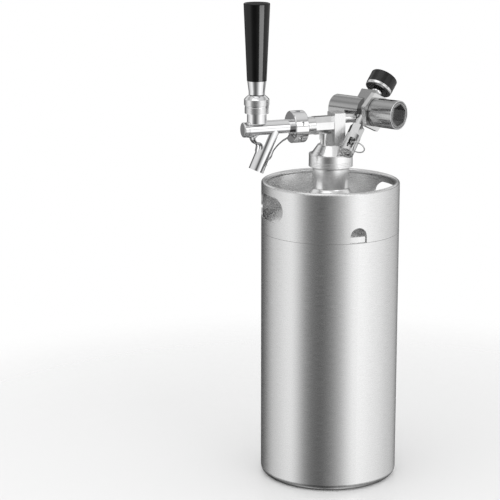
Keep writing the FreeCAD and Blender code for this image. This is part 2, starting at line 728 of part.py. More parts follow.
# Regulator directions: main runs to the knob, high to the gauge, relief to the relief valve
turn = math.radians(sizeOf("mainTurn"))
lean = math.radians(sizeOf("gaugeLean"))
main = Vector(math.cos(turn), math.sin(turn), 0)
high = Vector(-math.sin(turn) * math.cos(lean), math.cos(turn) * math.cos(lean), math.sin(lean))
side = high.cross(main)
heading = math.radians(sizeOf("reliefHeading"))
fall = math.radians(sizeOf("reliefLean"))
reliefWay = Vector(math.cos(heading) * math.cos(fall), -math.sin(heading) * math.cos(fall), -math.sin(fall))
core = Vector(0, sizeOf("coreY"), sizeOf("coreZ"))


def onCore(along, across, rise, up, sideways):
    """A place given in the regulator's own directions."""
    spot = core + main * sizeOf(along) + side * sizeOf(across) + high * sizeOf(rise)
    return Placement(spot, Rotation(sideways, up.cross(sideways), up, "ZXY"))


def alongMain(start="0"):
    return onCore(start, "0", "0", main, side)


def alongHigh(start="0"):
    return onCore("gaugeShift", "0", start, high, main)


def alongRelief(start="0"):
    across = Rotation(reliefWay, sizeOf("ringTurn")).multVec(reliefWay.cross(main).normalize())
    return Placement(core + reliefWay * sizeOf(start), Rotation(across, reliefWay.cross(across), reliefWay, "ZXY"))


blockOutline = [
    ("0 - blockHalf", "0 - blockLow + blockChamfer"),
    ("0 - blockHalf + blockChamfer", "0 - blockLow"),
    ("blockHalf - blockChamfer", "0 - blockLow"),
    ("blockHalf", "0 - blockLow + blockChamfer"),
    ("blockHalf", "blockHigh"),
    ("0 - blockHalf", "blockHigh"),
]
regBlock = plate("RegulatorBlock", blockOutline, "blockBack + blockFront", "XY_Plane",
                 onCore("(blockFront - blockBack) / 2", "0", "0", main, side))
nippleTool = rod("NippleTool", "nippleDiameter + 2 * runningFit", "nippleEnd - towerDepth",
                 at("0", "towerDepth", "nippleHeight", alongY))
reliefTool = rod("ReliefTool", "reliefStem + 2 * runningFit", "reliefHexStart",
                 alongRelief("reliefSeat"))
stemTool = rod("StemTool", "reliefStem", "blockHigh", alongHigh("blockHigh / 2"))
regSolid = joined("RegulatorSolid", regBlock,
                  rod("RegulatorBarrel", "socketDiameter", "socketEnd",
                      onCore("0 - socketEnd", "0", "0", main, side)))
keep(bored("RegulatorBody", regSolid, nippleTool, reliefTool, stemTool,
           rod("SocketTool", "socketBore", "socketDepth", onCore("0 - socketEnd", "0", "0", main, side)),
           rod("GasTool", "gasBore", "socketEnd", onCore("0 - socketEnd", "0", "0", main, side))),
     "regulator_body")

socketFloor = "0 - socketEnd + socketDepth"
keep(lathe("CartridgeSeal", [
    ("gasBore / 2", "0 - sealThick"),
    ("socketBore / 2 - runningFit", "0 - sealThick"),
    ("socketBore / 2 - runningFit", "0"),
    ("gasBore / 2", "0"),
], alongMain(socketFloor)), "cartridge_seal")
keep(lathe("PiercingPin", [
    ("0", "0 - gasBore * 1.5"),
    ("gasBore / 2 - runningFit", "0 - gasBore / 2"),
    ("gasBore / 2 - runningFit", "gasBore * 2"),
    ("0", "gasBore * 2"),
], alongMain(socketFloor)), "piercing_pin")

keep(lathe("GasNipple", [
    ("gasBore / 3", "towerDepth"),
    ("nippleDiameter / 2", "towerDepth"),
    ("nippleDiameter / 2", "nippleEnd"),
    ("gasBore / 3", "nippleEnd"),
], at("0", "0", "nippleHeight", alongY)), "gas_nipple")

# Hexagonal bonnet nut, diaphragm and spring behind the adjusting knob
hexEnd = "blockFront + hexThick"
bonnetSolid = hexBar("HexBonnetSolid", "hexFlats", "hexThick", alongMain("blockFront").multiply(
    Placement(Vector(), Rotation(Vector(0, 0, 1), sizeOf("hexTurn")))))
sleeve = rod("BonnetSleeve", "sleeveDiameter", "hexThick + knobGap + sleeveReach", alongMain("blockFront"))
keep(bored("HexBonnet", joined("HexBonnetJoined", bonnetSolid, sleeve),
           rod("SpringBoreTool", "springBore", "hexThick + knobGap + sleeveReach",
               alongMain("blockFront + sealThick"))), "regulator_bonnet_nut")
springLow = "blockFront + sealThick"
keep(lathe("Diaphragm", [
    ("0", "0"),
    ("springBore / 2 - 2 * runningFit", "0"),
    ("springBore / 2 - 2 * runningFit", "sealThick"),
    ("0", "sealThick"),
], alongMain(springLow)), "diaphragm_plate")

knobStart = hexEnd + " + knobGap"
knobSolid = rod("KnobSolid", "knobDiameter", "knobEnd - (%s)" % knobStart, alongMain(knobStart))
knobSocket = hexBar("KnobSocket", "knobSocketFlats", "knobSocketDepth", alongMain("knobEnd - knobSocketDepth"))
knobHollow = rod("KnobHollow", "sleeveDiameter + 2 * domeGap", "knobHollowDepth", alongMain(knobStart))
keep(bored("AdjustingKnob", knobSolid, knobSocket, knobHollow), "adjusting_knob")
keep(lathe("AdjustingScrew", [
    ("0", "0"),
    ("screwDiameter / 2", "0"),
    ("screwDiameter / 2", "knobHollowDepth + knobGap"),
    ("0", "knobHollowDepth + knobGap"),
], alongMain(knobStart + " - knobGap")), "adjusting_screw")

# Pressure gauge: stem with its round nut, back ring, case, dial, needle and lens
gaugeNut = ball("GaugeNut", "gaugeNutDiameter", alongHigh("gaugeBack - gaugeNutSetback"))
gaugeRod = rod("GaugeRod", "reliefStem - 2 * runningFit", "gaugeBack + gaugeRingThick - blockHigh / 2 - knobGap",
               alongHigh("blockHigh / 2 + knobGap"))
keep(joined("GaugeStem", gaugeRod, gaugeNut), "gauge_stem")
keep(lathe("GaugeBackRing", [
    ("gaugeDiameter / 2 - gaugeRingWidth", "0"),
    ("gaugeDiameter / 2 - 4 * runningFit", "0"),
    ("gaugeDiameter / 2 - 4 * runningFit", "gaugeRingThick"),
    ("gaugeDiameter / 2 - gaugeRingWidth", "gaugeRingThick"),
], alongHigh("gaugeBack"), rounds=[("gaugeDiameter / 2 - 4 * runningFit", "0", "gaugeRingThick / 3")]), "gauge_back_ring")
keep(lathe("GaugeCase", [
    ("0", "gaugeRingThick"),
    ("gaugeDiameter / 2", "gaugeRingThick"),
    ("gaugeDiameter / 2", "gaugeRingThick + gaugeCaseLength"),
    ("gaugeDiameter / 2 - gaugeWall", "gaugeRingThick + gaugeCaseLength"),
    ("gaugeDiameter / 2 - gaugeWall", "gaugeRingThick + gaugeWall"),
    ("0", "gaugeRingThick + gaugeWall"),
], alongHigh("gaugeBack"),
    rounds=[("gaugeDiameter / 2", "gaugeRingThick + gaugeCaseLength", "gaugeWall / 2")]), "gauge_case")
dialLow = "gaugeRingThick + gaugeWall"
dialBack = dialLow + " + dialRise"
dialFace = dialBack + " + dialThick"
keep(lathe("GaugeDial", [
    ("dialHole", dialBack),
    ("gaugeDiameter / 2 - gaugeWall - runningFit", dialBack),
    ("gaugeDiameter / 2 - gaugeWall - runningFit", dialFace),
    ("dialHole", dialFace),
], alongHigh("gaugeBack")), "gauge_dial")
keep(lathe("GaugeMovement", [
    ("0", dialLow),
    ("movementRadius", dialLow),
    ("movementRadius", dialBack),
    ("0", dialBack),
], alongHigh("gaugeBack")), "gauge_movement")
needleReach = "gaugeDiameter / 2 - gaugeWall - needleMargin"
needle = plate("NeedleBlade", [
    ("0 - needleTail", "0 - needleTailHalf"),
    ("0", "0 - needleHalf"),
    (needleReach, "0 - needleTipHalf"),
    (needleReach, "needleTipHalf"),
    ("0", "needleHalf"),
    ("0 - needleTail", "needleTailHalf"),
], "needleThick", "XY_Plane", alongHigh("gaugeBack + %s + needleRise" % dialFace))
keep(joined("GaugeNeedle", needle,
            rod("NeedleSpindle", "spindleDiameter", "spindleLength",
                alongHigh("gaugeBack + %s + 2 * runningFit" % dialBack))), "gauge_needle")
keep(lathe("GaugeLens", [
    ("0", "0"),
    ("gaugeDiameter / 2 - gaugeWall - runningFit", "0"),
    ("gaugeDiameter / 2 - gaugeWall - runningFit", "lensThick"),
    ("0", "lensThick"),
], alongHigh("gaugeBack + gaugeRingThick + gaugeCaseLength - lensSetback")), "gauge_lens")


def coil(name, radius, wire, pitch, turns, place):
    """An internal compression spring: one round wire wound on a helix of whole turns."""
    path = Part.makeHelix(sizeOf(pitch), sizeOf(pitch) * int(sizeOf(turns)), sizeOf(radius))
    start = path.Vertexes[0].Point
    section = Part.Wire(Part.makeCircle(sizeOf(wire) / 2, start, Vector(0, 1, 0)))
    spring = doc.addObject("Part::Feature", name)
    spring.Shape = Part.Wire(path.Edges).makePipeShell([section], True, True)
    spring.Placement = place
    return spring


keep(coil("RegulatorSpring", "screwDiameter / 2 + 1", "springWire", "springPitch", "springTurns",
          alongMain("blockFront + 2 * sealThick + springWire / 2 + runningFit")), "regulator_spring")
keep(coil("ReliefSpring", "reliefDiameter * 0.25", "springWire", "springPitch", "reliefTurns",
          alongRelief("reliefHexEnd + reliefFloor + 4 * runningFit + springWire / 2")), "relief_spring")

# Relief valve: hexagon, slotted barrel, sprung stem and the split ring that pulls it
reliefSolid = joined("ReliefSolid",
                     rod("ReliefNeck", "reliefStem", "reliefHexStart - reliefSeat", alongRelief("reliefSeat")),
                     hexBar("ReliefHex", "reliefHexFlats", "reliefHexEnd - reliefHexStart",
                            alongRelief("reliefHexStart")),
                     rod("ReliefBarrel", "reliefDiameter", "reliefReach - reliefHexEnd", alongRelief("reliefHexEnd")))
stemBore = rod("ReliefBore", "reliefDiameter * 0.62", "reliefReach - reliefHexEnd",
               alongRelief("reliefHexEnd + reliefFloor"))
crossSlot = block("ReliefCrossSlot", "ringWire * 5", "reliefDiameter * 1.5",
                  "reliefReach - reliefHexEnd - slotStart - slotMargin",
                  alongRelief("reliefHexEnd + slotStart").multiply(
                      Placement(Vector(-sizeOf("ringWire"), -sizeOf("reliefDiameter * 0.75"), 0), Rotation())))
keep(bored("ReliefBody", reliefSolid, stemBore, crossSlot,
           rod("ReliefGas", "gasBore / 2", "reliefHexEnd", alongRelief("reliefSeat"))), "relief_valve_body")
reliefStem = rod("ReliefPin", "reliefDiameter * 0.4", "reliefReach - reliefHexEnd - reliefFloor - stemSetback",
                 alongRelief("reliefHexEnd + reliefFloor + 6 * runningFit"))
eye = rod("StemEye", "ringWire * 2.6", "reliefDiameter", alongRelief("reliefHexEnd + ringSeat").multiply(
    Placement(Vector(0, -sizeOf("reliefDiameter / 2"), 0), Rotation(Vector(1, 0, 0), -90))))
keep(bored("ReliefStem", reliefStem, eye), "relief_stem")
ring = doc.addObject("Part::Torus", "PullRing")
ring.setExpression("Radius1", bound("pullRing / 2"))
ring.setExpression("Radius2", bound("ringWire / 2"))
ring.Placement = alongRelief("reliefHexEnd + ringSeat").multiply(
    Placement(Vector(sizeOf("pullRing / 2"), 0, 0), Rotation()))
keep(ring, "relief_pull_ring")

doc.recompute()
faults = [item.Name for item in doc.Objects if "Invalid" in item.State or "Error" in item.State]
for item in nodes:
    if item.Shape.isNull() or not item.Shape.isValid():
        faults.append(item.Label)
if faults:
    raise RuntimeError("failed features: " + ", ".join(faults))

os.makedirs("parts", exist_ok=True)
for item in nodes:
    item.Shape.exportStep("parts/%s.step" % item.Label)
    print("%-22s solids %d volume %.1f" % (item.Label, len(item.Shape.Solids), item.Shape.Volume))
print(len(nodes), "sub-parts written")
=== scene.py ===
import math
import bmesh
import bpy
from mathutils import Matrix, Vector


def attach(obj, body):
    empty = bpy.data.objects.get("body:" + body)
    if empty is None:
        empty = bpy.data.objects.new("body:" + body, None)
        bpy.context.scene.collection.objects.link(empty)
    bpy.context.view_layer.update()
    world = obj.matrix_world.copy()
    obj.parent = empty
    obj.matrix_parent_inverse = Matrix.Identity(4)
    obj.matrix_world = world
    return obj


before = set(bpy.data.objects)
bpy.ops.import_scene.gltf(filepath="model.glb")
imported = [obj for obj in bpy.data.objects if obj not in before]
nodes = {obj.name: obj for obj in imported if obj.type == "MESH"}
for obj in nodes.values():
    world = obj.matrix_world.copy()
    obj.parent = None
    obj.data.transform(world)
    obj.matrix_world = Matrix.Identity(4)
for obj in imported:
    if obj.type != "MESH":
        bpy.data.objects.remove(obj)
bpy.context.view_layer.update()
print("frame loaded:", len(nodes), "nodes")

scene = bpy.context.scene
scene.view_settings.view_transform = "Standard"
mm = 0.001

# Directions and places, as the part has them
layout = {"barrelTurn": 27.0, "gaugeLean": 47.5, "relief": (0.505, -0.588, -0.632),
          "regulator": (0, 0.036, 0.363), "shank": (0, 0, 0.352), "leverY": -0.0774}
barrelTurn = math.radians(layout["barrelTurn"])
gaugeLean = math.radians(layout["gaugeLean"])
barrelWay = Vector((math.cos(barrelTurn), math.sin(barrelTurn), 0))
gaugeWay = Vector((-math.sin(barrelTurn) * math.cos(gaugeLean), math.cos(barrelTurn) * math.cos(gaugeLean),
                   math.sin(gaugeLean)))
reliefWay = Vector(layout["relief"]).normalized()
regulator = Vector(layout["regulator"])
shank = Vector(layout["shank"])
upWay = Vector((0, 0, 1))
frontWay = Vector((0, -1, 0))
origin = Vector((0, 0, 0))


# Shader helpers

def feed(tree, value, socket):
    # Links an output, or sets a plain value
    if hasattr(value, "is_output"):
        tree.links.new(value, socket)
    else:
        socket.default_value = value


def mathNode(tree, kind, *values):
    node = tree.nodes.new("ShaderNodeMath")
    node.operation = kind
    for value, socket in zip(values, node.inputs):
        feed(tree, value, socket)
    return node.outputs[0]


def noise(tree, vector, scale, detail, roughness=0.5):
    node = tree.nodes.new("ShaderNodeTexNoise")
    values = {"Vector": vector, "Scale": scale, "Detail": detail, "Roughness": roughness}
    for label, value in values.items():
        feed(tree, value, node.inputs[label])
    return node.outputs["Fac"]


def mapRange(tree, source, **limits):
    node = tree.nodes.new("ShaderNodeMapRange")
    labels = {"start": "From Min", "end": "From Max", "low": "To Min", "high": "To Max"}
    for name, value in limits.items():
        node.inputs[labels[name]].default_value = value
    tree.links.new(source, node.inputs["Value"])
    return node


def colourMix(tree, kind, amount, first, second):
    node = tree.nodes.new("ShaderNodeMix")
    node.data_type = "RGBA"
    node.blend_type = kind
    for label, value in {"Factor": amount, "A": first, "B": second}.items():
        feed(tree, value, node.inputs[label])
    return node.outputs["Result"]


def newGroup(name, inputs, outputs):
    group = bpy.data.node_groups.new(name, "ShaderNodeTree")
    for label, kind, default in inputs:
        socket = group.interface.new_socket(name=label, in_out="INPUT", socket_type=kind)
        if default is not None:
            socket.default_value = default
    for label in outputs:
        group.interface.new_socket(name=label, in_out="OUTPUT", socket_type="NodeSocketFloat")
    return group, group.nodes.new("NodeGroupInput").outputs, group.nodes.new("NodeGroupOutput").inputs


# Node groups that the materials share
turnedShape = {"detail": 4.0, "roughness": 0.65}


def makeTurnedGrain(shape):
    # Fine lines left by turning or rolling, round the local Z axis
    group, start, end = newGroup("turnedGrain", [
        ("Vector", "NodeSocketVector", None), ("Lines", "NodeSocketFloat", 2500.0),
        ("Run", "NodeSocketFloat", 6.0)], ["Lines"])
    split = group.nodes.new("ShaderNodeSeparateXYZ")
    group.links.new(start["Vector"], split.inputs[0])
    x, y, z = split.outputs
    angle = mathNode(group, "ARCTAN2", y, x)
    square = mathNode(group, "ADD", mathNode(group, "MULTIPLY", x, x), mathNode(group, "MULTIPLY", y, y))
    along = mathNode(group, "ADD", z, mathNode(group, "SQRT", square))
    join = group.nodes.new("ShaderNodeCombineXYZ")
    group.links.new(mathNode(group, "MULTIPLY", angle, start["Run"]), join.inputs["X"])
    group.links.new(mathNode(group, "MULTIPLY", along, start["Lines"]), join.inputs["Y"])
    group.links.new(noise(group, join.outputs[0], 1.0, shape["detail"], shape["roughness"]), end["Lines"])
    return group


straightShape = {"stretch": (1.0, 1.0, 0.03), "detail": 3.0}


def makeStraightGrain(shape):
    # Straight brushing along local Z, on flat faces
    group, start, end = newGroup("straightGrain", [
        ("Vector", "NodeSocketVector", None), ("Lines", "NodeSocketFloat", 3000.0)], ["Lines"])
    stretch = group.nodes.new("ShaderNodeVectorMath")
    stretch.operation = "MULTIPLY"
    stretch.inputs[1].default_value = shape["stretch"]
    group.links.new(start["Vector"], stretch.inputs[0])
    group.links.new(noise(group, stretch.outputs[0], start["Lines"], shape["detail"]), end["Lines"])
    return group


wearShape = {"smudgeDetail": 5.0, "poreDetail": 2.0, "poresPerSmudge": 40.0}


def makeWear(shape):
    # Soft smudges and fine pores
    group, start, end = newGroup("handlingWear", [
        ("Vector", "NodeSocketVector", None), ("Size", "NodeSocketFloat", 60.0)], ["Smudge", "Pores"])
    poreSize = mathNode(group, "MULTIPLY", start["Size"], shape["poresPerSmudge"])
    group.links.new(noise(group, start["Vector"], start["Size"], shape["smudgeDetail"]), end["Smudge"])
    group.links.new(noise(group, start["Vector"], poreSize, shape["poreDetail"]), end["Pores"])
    return group


grains = {"turned": makeTurnedGrain(turnedShape), "straight": makeStraightGrain(straightShape),
          "polished": makeWear(wearShape)}


def startMaterial(name):
    material = bpy.data.materials.new(name)
    material.use_nodes = True
    return material, material.node_tree, material.node_tree.nodes["Principled BSDF"]


def placeGrain(tree, kind, place, axis):
    # A grain group on object coordinates turned so that local Z runs along a piece's own axis
    coords = tree.nodes.new("ShaderNodeTexCoord")
    shift = tree.nodes.new("ShaderNodeMapping")
    shift.vector_type = "TEXTURE"
    shift.inputs["Location"].default_value = place
    shift.inputs["Rotation"].default_value = axis.to_track_quat("Z", "Y").to_euler()
    tree.links.new(coords.outputs["Object"], shift.inputs["Vector"])
    grain = tree.nodes.new("ShaderNodeGroup")
    grain.node_tree = grains[kind]
    tree.links.new(shift.outputs[0], grain.inputs["Vector"])
    return grain


noiseSpread = {"start": 0.3, "end": 0.7}


def ramp(tree, source, low, high):
    return mapRange(tree, source, low=low, high=high, **noiseSpread).outputs[0]


def surface(tree, shader, pattern, height, look):
    # Colour and roughness follow the pattern, and the bump follows the height
    share = ramp(tree, pattern, 0.0, 1.0)
    paint = colourMix(tree, "MIX", share, (*look["dark"], 1), (*look["light"], 1))
    tree.links.new(paint, shader.inputs["Base Color"])
    tree.links.new(ramp(tree, pattern, *look["rough"]), shader.inputs["Roughness"])
    bump = tree.nodes.new("ShaderNodeBump")
    bump.inputs["Strength"].default_value = look["bump"]
    bump.inputs["Distance"].default_value = look["depth"]
    tree.links.new(height, bump.inputs["Height"])
    tree.links.new(bump.outputs[0], shader.inputs["Normal"])


def metal(name, place, axis, look):
    # Metal with turned, straight or polished grain
    material, tree, shader = startMaterial(name)
    grain = placeGrain(tree, look["grain"], place, axis)
    shader.inputs["Metallic"].default_value = 1.0
    if look["grain"] == "polished":
        grain.inputs["Size"].default_value = look["size"]
        surface(tree, shader, grain.outputs["Smudge"], grain.outputs["Pores"], look)
    else:
        grain.inputs["Lines"].default_value = look["lines"]
        surface(tree, shader, grain.outputs["Lines"], grain.outputs["Lines"], look)
    return material


def plain(name, look):
    # Plastic, rubber or paint with a fine surface grain
    material, tree, shader = startMaterial(name)
    grain = placeGrain(tree, "polished", origin, upWay)
    grain.inputs["Size"].default_value = look["size"]
    shader.inputs["IOR"].default_value = look["ior"]
    surface(tree, shader, grain.outputs["Smudge"], grain.outputs["Pores"], look)
    return material


def grey(level):
    return (level, level, level)


# Looks: the keg's rolled sheet, turned pieces, brushed block, mirror chrome and satin
brushed = {"grain": "turned", "lines": 2600.0, "dark": grey(0.66), "light": grey(0.84), "rough": (0.2, 0.34),
           "bump": 0.25, "depth": 0.08 * mm}
turned = dict(brushed, lines=5200.0, rough=(0.14, 0.26), bump=0.2, depth=0.06 * mm)
block = dict(brushed, grain="straight", lines=2500.0, rough=(0.22, 0.36), bump=0.15, depth=0.05 * mm,
             dark=grey(0.72), light=grey(0.88))
chrome = {"grain": "polished", "size": 70.0, "dark": (0.76, 0.76, 0.77), "light": grey(0.82),
          "rough": (0.05, 0.11), "bump": 0.04, "depth": 0.05 * mm}
satin = dict(chrome, rough=(0.14, 0.22), dark=grey(0.7), light=grey(0.8))
smooth = (0.12, 0.2)

# Each metal: the place and axis that its grain follows, and its look
metals = {
    "kegSteel": (origin, upWay, brushed),
    # Weld seam ring: a real thin ring, coloured dark as painted shade of the groove between shell and skirt
    "seamPaintedShade": (origin, upWay, dict(brushed, dark=grey(0.2), light=grey(0.3))),
    "neckSteel": (origin, upWay, dict(turned, dark=grey(0.8), light=grey(0.94), rough=(0.16, 0.3))),
    "towerSteel": (origin, upWay, block),
    "shankSteel": (shank, frontWay, satin),
    "faucetChrome": (shank, frontWay, chrome),
    "regulatorMetal": (regulator, barrelWay, dict(turned, dark=grey(0.36), light=grey(0.5), rough=smooth)),
    "knobMetal": (regulator, barrelWay, dict(turned, dark=grey(0.42), light=grey(0.58), rough=smooth)),
    "knobFace": (regulator, barrelWay, dict(turned, dark=grey(0.16), light=grey(0.26), rough=smooth)),
    "nutMetal": (regulator, barrelWay, satin),
    "gaugeMetal": (regulator, gaugeWay, satin),
    "reliefMetal": (regulator, reliefWay, dict(turned, rough=smooth)),
    "turnedBrass": (regulator, barrelWay, dict(turned, dark=(0.55, 0.38, 0.14), light=(0.76, 0.56, 0.26))),
}
poreDepth = 0.1 * mm
plains = {
    "handleBlack": {"dark": grey(0.002), "light": grey(0.004), "rough": (0.08, 0.13), "size": 50.0,
                    "bump": 0.02, "ior": 1.36, "depth": poreDepth},
    "gaugeBlack": {"dark": grey(0.008), "light": grey(0.02), "rough": (0.2, 0.3), "size": 90.0,
                   "bump": 0.06, "ior": 1.4, "depth": poreDepth},
    "dialWhite": {"dark": (0.82, 0.82, 0.8), "light": (0.9, 0.9, 0.88), "rough": (0.4, 0.5), "size": 120.0,
                  "bump": 0.02, "ior": 1.5, "depth": poreDepth},
    "sealRubber": {"dark": grey(0.012), "light": grey(0.03), "rough": (0.55, 0.75), "size": 200.0,
                   "bump": 0.15, "ior": 1.5, "depth": poreDepth},
    "nylon": {"dark": (0.75, 0.74, 0.7), "light": (0.85, 0.84, 0.8), "rough": (0.35, 0.5), "size": 150.0,
              "bump": 0.05, "ior": 1.5, "depth": poreDepth},
}
lensLook = {"tint": (0.96, 0.97, 0.97), "ior": 1.45, "rough": (0.02, 0.06)}


def makeLens(look):
    material, tree, shader = startMaterial("gaugeLens")
    shader.inputs["Base Color"].default_value = (*look["tint"], 1)
    shader.inputs["Transmission Weight"].default_value = 1.0
    shader.inputs["IOR"].default_value = look["ior"]
    wear = placeGrain(tree, "polished", regulator, gaugeWay)
    tree.links.new(ramp(tree, wear.outputs["Smudge"], *look["rough"]), shader.inputs["Roughness"])
    return material


keep = {name: metal(name, *values) for name, values in metals.items()}
keep.update({name: plain(name, look) for name, look in plains.items()})
keep["gaugeLens"] = makeLens(lensLook)

finishOf = {
    "keg_shell": "kegSteel", "top_skirt": "kegSteel", "keg_neck": "neckSteel", "head_seal": "sealRubber",
    "spear_head": "neckSteel", "collar_nut": "neckSteel", "dip_tube": "neckSteel", "beer_riser": "neckSteel",
    "tower_block": "towerSteel", "gas_check_valve": "sealRubber", "gas_nipple": "shankSteel",
    "shank": "shankSteel", "shank_seal": "sealRubber", "coupling_nut": "faucetChrome",
    "faucet_body": "faucetChrome", "faucet_front_cap": "shankSteel", "valve_shaft": "shankSteel",
    "valve_seal": "sealRubber", "bonnet_nut": "faucetChrome", "ball_washer": "nylon",
    "tap_lever": "faucetChrome", "lever_ferrule": "faucetChrome", "handle_insert": "turnedBrass",
    "handle_grip": "handleBlack", "regulator_body": "regulatorMetal", "cartridge_seal": "sealRubber",
    "piercing_pin": "shankSteel", "regulator_bonnet_nut": "nutMetal", "diaphragm_plate": "turnedBrass",
    "regulator_spring": "shankSteel", "adjusting_knob": "knobMetal", "adjusting_screw": "turnedBrass",
    "gauge_stem": "faucetChrome", "gauge_back_ring": "gaugeMetal", "gauge_case": "gaugeBlack",
    "gauge_dial": "dialWhite", "gauge_movement": "turnedBrass", "gauge_needle": "gaugeBlack",
    "gauge_lens": "gaugeLens", "relief_valve_body": "reliefMetal", "relief_spring": "shankSteel",
    "relief_stem": "reliefMetal", "relief_pull_ring": "shankSteel",
}
for node, finish in finishOf.items():
    slots = nodes[node].material_slots
    if not slots:
        nodes[node].data.materials.append(keep[finish])
    for entry in slots:
        entry.material = keep[finish]
print("materials on", len(finishOf), "nodes")


# Extra geometry, each piece riding on the body that it belongs to

def addPiece(name, form, finish, body, smooth=False):
    mesh = bpy.data.meshes.new(name)
    form.to_mesh(mesh)
    form.free()
    for face in mesh.polygons:
        face.use_smooth = smooth
    mesh.materials.append(keep[finish])
    piece = bpy.data.objects.new(name, mesh)
    scene.collection.objects.link(piece)
    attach(piece, body)


def frameAt(place, up, across):
    # A place whose local Z runs along up and local X along across
    side = up.cross(across).normalized()
    turn = Matrix((across.normalized(), side, up.normalized())).transposed()
    return Matrix.Translation(place) @ turn.to_4x4()


def joinRows(form, rows):
    # Faces between neighbouring rows of points, closed both ways
    for here, there in zip(rows, rows[1:] + rows[:1]):
        for part in range(len(here)):
            after = (part + 1) % len(here)
            form.faces.new((here[part], there[part], there[after], here[after]))


def ringForm(look, place):
    # A round wire ring in the local XY plane
    form = bmesh.new()
    rows = []
    for step in range(look["around"]):
        angle = 2 * math.pi * step / look["around"]
        row = []
        for part in range(look["sides"]):
            bend = 2 * math.pi * part / look["sides"]
            out = look["radius"] + look["wire"] * math.cos(bend)
            point = Vector((out * math.cos(angle), out * math.sin(angle), look["wire"] * math.sin(bend)))
            row.append(form.verts.new(place @ point))
        rows.append(row)
    joinRows(form, rows)
    return form


def knurlForm(look, place):
    # Upright ribs round a ring
    form = bmesh.new()
    for step in range(look["count"]):
        angle = 2 * math.pi * step / look["count"]
        spot = Matrix.Rotation(angle, 4, "Z") @ Matrix.Translation((look["radius"], 0, look["middle"]))
        bmesh.ops.create_cone(form, segments=look["sides"], radius1=look["rib"], radius2=look["rib"],
                              depth=look["tall"], cap_ends=True, matrix=place @ spot)
    return form


def addCurve(form, curve, place):
    # Adds a curve's evaluated mesh to a form, set at a place
    holder = bpy.data.objects.new(curve.name, curve)
    scene.collection.objects.link(holder)
    bpy.context.view_layer.update()
    solved = holder.evaluated_get(bpy.context.evaluated_depsgraph_get())
    mesh = bpy.data.meshes.new_from_object(solved)
    mesh.transform(place)
    form.from_mesh(mesh)
    bpy.data.objects.remove(holder)
    bpy.data.meshes.remove(mesh)


bonnetKnurl = {
    "bonnet_knurl_low": {"count": 66, "radius": 11.25 * mm, "middle": 370.6 * mm, "tall": 4.9 * mm,
                         "rib": 0.42 * mm, "sides": 6},
    "bonnet_knurl_high": {"count": 70, "radius": 11.85 * mm, "middle": 378.1 * mm, "tall": 5.0 * mm,
                          "rib": 0.42 * mm, "sides": 6},
}
leverLine = Matrix.Translation((0, layout["leverY"], 0))
for name, look in bonnetKnurl.items():
    addPiece(name, knurlForm(look, leverLine), "shankSteel", "head")

collarLines = {"radius": 21.3 * mm, "wire": 0.16 * mm, "around": 128, "sides": 6,
               "heights": (311.9, 313.4, 314.9, 316.4, 322.9)}
for index, height in enumerate(collarLines["heights"]):
    level = Matrix.Translation((0, 0, height * mm))
    addPiece("collar_line_%d" % index, ringForm(collarLines, level), "neckSteel", "collar", True)

# The weld line between shell and skirt is a real thin ring; its dark colour is painted shade of the groove
# there
weldLine = {"radius": 67.45 * mm, "wire": 0.16 * mm, "around": 160, "sides": 6, "height": 248.0 * mm}
level = Matrix.Translation((0, 0, weldLine["height"]))
addPiece("skirt_weld_line", ringForm(weldLine, level), "seamPaintedShade", "keg", True)

# Knob end: a raised bright edge and a shallow turned ring inside it
knobReach = 41.0 * mm
knobRings = {
    "knob_edge_ring": {"radius": 13.35 * mm, "wire": 0.5 * mm, "around": 96, "sides": 10,
                       "finish": "faucetChrome"},
    "knob_face_ring": {"radius": 11.3 * mm, "wire": 0.18 * mm, "around": 96, "sides": 10,
                       "finish": "neckSteel"},
}
knobEnd = regulator + barrelWay * knobReach
for name, look in knobRings.items():
    addPiece(name, ringForm(look, frameAt(knobEnd, barrelWay, upWay)), look["finish"], "knob", True)

knobPlate = {"flats": 19.0 * mm, "outer": 13.0 * mm, "thick": 0.12 * mm, "around": 96}


def makeKnobPlate(look):
    # A thin dark ring on the knob's end, open over the hexagonal socket
    place = frameAt(knobEnd, barrelWay, gaugeWay.cross(barrelWay))
    form = bmesh.new()
    rows = []
    for step in range(look["around"]):
        angle = 2 * math.pi * step / look["around"]
        fromFlat = angle % (math.pi / 3) - math.pi / 6
        inner = look["flats"] / 2 / math.cos(fromFlat)
        section = ((inner, 0), (inner, look["thick"]), (look["outer"], look["thick"]), (look["outer"], 0))
        rows.append([form.verts.new(place @ Vector((reach * math.cos(angle), reach * math.sin(angle), rise)))
                     for reach, rise in section])
    joinRows(form, rows)
    bmesh.ops.recalc_face_normals(form, faces=form.faces)
    addPiece("knob_end_plate", form, "knobFace", "knob")


makeKnobPlate(knobPlate)

# Faucet casting: the web between barrel and spout is full and rounded
webLook = {"half": 2.6 * mm, "edge": 3.2 * mm, "inset": 1.92 * mm, "rounding": 5,
           "points": ((-81.8, 345.6), (-80.6, 340.0), (-75.2, 337.4), (-74.6, 330.6), (-71.5, 322.0),
                      (-66.8, 322.5), (-61.4, 331.6), (-54.0, 338.8), (-46.4, 343.6), (-44.5, 347.0))}


def makeWeb(look):
    curve = bpy.data.curves.new("faucet_casting_curve", "CURVE")
    curve.dimensions = "2D"
    curve.fill_mode = "BOTH"
    curve.extrude = look["half"]
    curve.bevel_depth = look["edge"]
    curve.bevel_resolution = look["rounding"]
    curve.offset = -look["inset"]
    outline = curve.splines.new("BEZIER")
    outline.bezier_points.add(len(look["points"]) - 1)
    for point, (along, height) in zip(outline.bezier_points, look["points"]):
        point.co = (-along * mm, height * mm, 0)
        point.handle_left_type = "AUTO"
        point.handle_right_type = "AUTO"
    outline.use_cyclic_u = True
    form = bmesh.new()
    addCurve(form, curve, Matrix(((0, 0, 1, 0), (-1, 0, 0, 0), (0, 1, 0, 0), (0, 0, 0, 1))))
    addPiece("faucet_casting", form, "faucetChrome", "head", True)


makeWeb(webLook)

